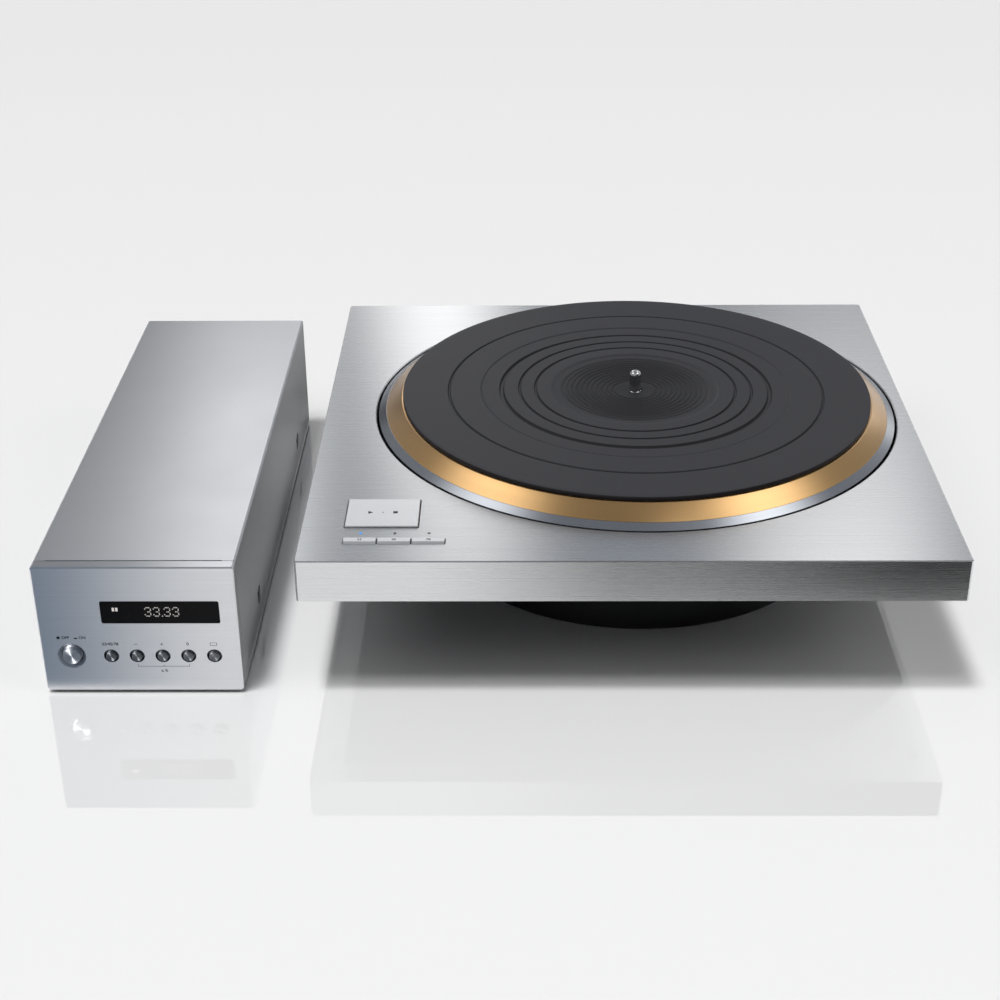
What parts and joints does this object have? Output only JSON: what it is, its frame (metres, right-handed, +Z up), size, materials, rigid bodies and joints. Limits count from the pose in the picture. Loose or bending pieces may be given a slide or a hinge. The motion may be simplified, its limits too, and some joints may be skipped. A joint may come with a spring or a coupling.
{
  "type": "direct-drive turntable",
  "caption": "Direct-drive turntable deck with a brass-topped platter and rubber mat, beside its long control unit with speed display and push buttons.",
  "frame": {"origin": "on the platter's axis, on the surface that the deck's foot ring and the control unit's feet stand on", "axes": "+Z up along the spindle, +X to the right, +Y to the back, away from the keys"},
  "size_m": [0.5086, 0.365, 0.1105],
  "materials": {
    "brushed_aluminium": "fine straight brushing",
    "satin_aluminium": "bead-blasted and anodised",
    "cast_aluminium": "fine turned casting",
    "turned_steel": "spun face",
    "black_paint": "smooth satin black",
    "turned_brass": "fine turned and polished",
    "bronze": "sintered bronze",
    "copper": "enamelled wire",
    "grooved_rubber": "matte grey-black with fine grooves",
    "black_rubber": "matte",
    "polished_steel": "ground and polished",
    "screw_steel": "plated",
    "iron": "plain",
    "tray_steel": "zinc plated",
    "circuit_board": "green lacquer",
    "board_and_parts": "board with parts on it",
    "black_plastic": "plain moulded",
    "white_plastic": "plain moulded",
    "core_wrap": "taped windings",
    "dark_glass": "dark tinted and polished",
    "lamp_lit": "lit blue",
    "lamp_dark": "clear over dark"
  },
  "bodies": {
    "deck": {"top_panel": "brushed_aluminium", "lower_chassis": "black_paint", "chassis_screws": "screw_steel", "motor_housing": "black_paint", "housing_screws": "screw_steel", "motor_base_cover": "black_paint", "base_cover_screws": "screw_steel", "bearing_housing": "cast_aluminium", "bearing_bushes": "bronze", "thrust_pad": "white_plastic", "bearing_screws": "screw_steel", "stator_board": "circuit_board", "stator_coils": "copper", "stator_posts": "screw_steel", "encoder_sensor": "black_plastic", "deck_socket": "black_plastic", "key_board": "circuit_board", "key_board_screws": "screw_steel", "key_switches": "black_plastic", "lamp_33": "lamp_lit", "lamp_45": "lamp_dark", "lamp_78": "lamp_dark"},
    "platter": {"platter_body": "cast_aluminium", "brass_plate": "turned_brass", "record_mat": "grooved_rubber", "damping_ring": "black_rubber", "balance_weights": "iron", "platter_screws": "screw_steel", "spindle_shaft": "polished_steel", "rotor_hub": "cast_aluminium", "rotor_upper_yoke": "iron", "rotor_upper_magnets": "iron", "rotor_lower_yoke": "iron", "rotor_lower_magnets": "iron", "encoder_disc": "screw_steel"},
    "start_stop_key": {"start_stop_key": "brushed_aluminium"},
    "speed_key_33": {"speed_key_33": "brushed_aluminium"},
    "speed_key_45": {"speed_key_45": "brushed_aluminium"},
    "speed_key_78": {"speed_key_78": "brushed_aluminium"},
    "control_unit": {"control_front_panel": "brushed_aluminium", "control_cover": "satin_aluminium", "control_base": "tray_steel", "cover_screws": "screw_steel", "control_feet": "black_rubber", "display_window": "dark_glass", "display_module": "black_plastic", "power_switch": "black_plastic", "button_board": "circuit_board", "button_switches": "black_plastic", "control_rear_panel": "black_paint", "mains_inlet": "black_plastic", "drive_socket": "black_plastic", "power_board": "board_and_parts", "transformer": "core_wrap"},
    "power_button": {"power_button": "turned_steel"},
    "button_speed": {"button_speed": "turned_steel"},
    "button_minus": {"button_minus": "turned_steel"},
    "button_plus": {"button_plus": "turned_steel"},
    "button_reset": {"button_reset": "turned_steel"},
    "button_display": {"button_display": "turned_steel"}
  },
  "joints": [
    {"name": "platter_spin", "type": "hinge", "parent": "deck", "child": "platter", "pos_m": [0, 0, 0.096], "axis": [0, 0, 1], "continuous": true},
    {"name": "start_stop_press", "type": "slide", "parent": "deck", "child": "start_stop_key", "axis": [0, 0, -1], "range_m": [0, 0.0008], "stiffness_N_per_m": 400, "springref_m": -0.002},
    {"name": "speed_33_press", "type": "slide", "parent": "deck", "child": "speed_key_33", "axis": [0, 0, -1], "range_m": [0, 0.0007], "stiffness_N_per_m": 200, "springref_m": -0.002},
    {"name": "speed_45_press", "type": "slide", "parent": "deck", "child": "speed_key_45", "axis": [0, 0, -1], "range_m": [0, 0.0007], "stiffness_N_per_m": 200, "springref_m": -0.002},
    {"name": "speed_78_press", "type": "slide", "parent": "deck", "child": "speed_key_78", "axis": [0, 0, -1], "range_m": [0, 0.0007], "stiffness_N_per_m": 200, "springref_m": -0.002},
    {"name": "control_unit_slide", "type": "slide", "parent": "deck", "child": "control_unit", "axis": [-1, 0, 0], "range_m": [0, 0.25]},
    {"name": "power_press", "type": "slide", "parent": "control_unit", "child": "power_button", "axis": [0, 1, 0], "range_m": [-0.002, 0.001], "stiffness_N_per_m": 500},
    {"name": "button_speed_press", "type": "slide", "parent": "control_unit", "child": "button_speed", "axis": [0, 1, 0], "range_m": [0, 0.0008], "stiffness_N_per_m": 200, "springref_m": -0.002},
    {"name": "button_minus_press", "type": "slide", "parent": "control_unit", "child": "button_minus", "axis": [0, 1, 0], "range_m": [0, 0.0008], "stiffness_N_per_m": 200, "springref_m": -0.002},
    {"name": "button_plus_press", "type": "slide", "parent": "control_unit", "child": "button_plus", "axis": [0, 1, 0], "range_m": [0, 0.0008], "stiffness_N_per_m": 200, "springref_m": -0.002},
    {"name": "button_reset_press", "type": "slide", "parent": "control_unit", "child": "button_reset", "axis": [0, 1, 0], "range_m": [0, 0.0008], "stiffness_N_per_m": 200, "springref_m": -0.002},
    {"name": "button_display_press", "type": "slide", "parent": "control_unit", "child": "button_display", "axis": [0, 1, 0], "range_m": [0, 0.0008], "stiffness_N_per_m": 200, "springref_m": -0.002}
  ]
}
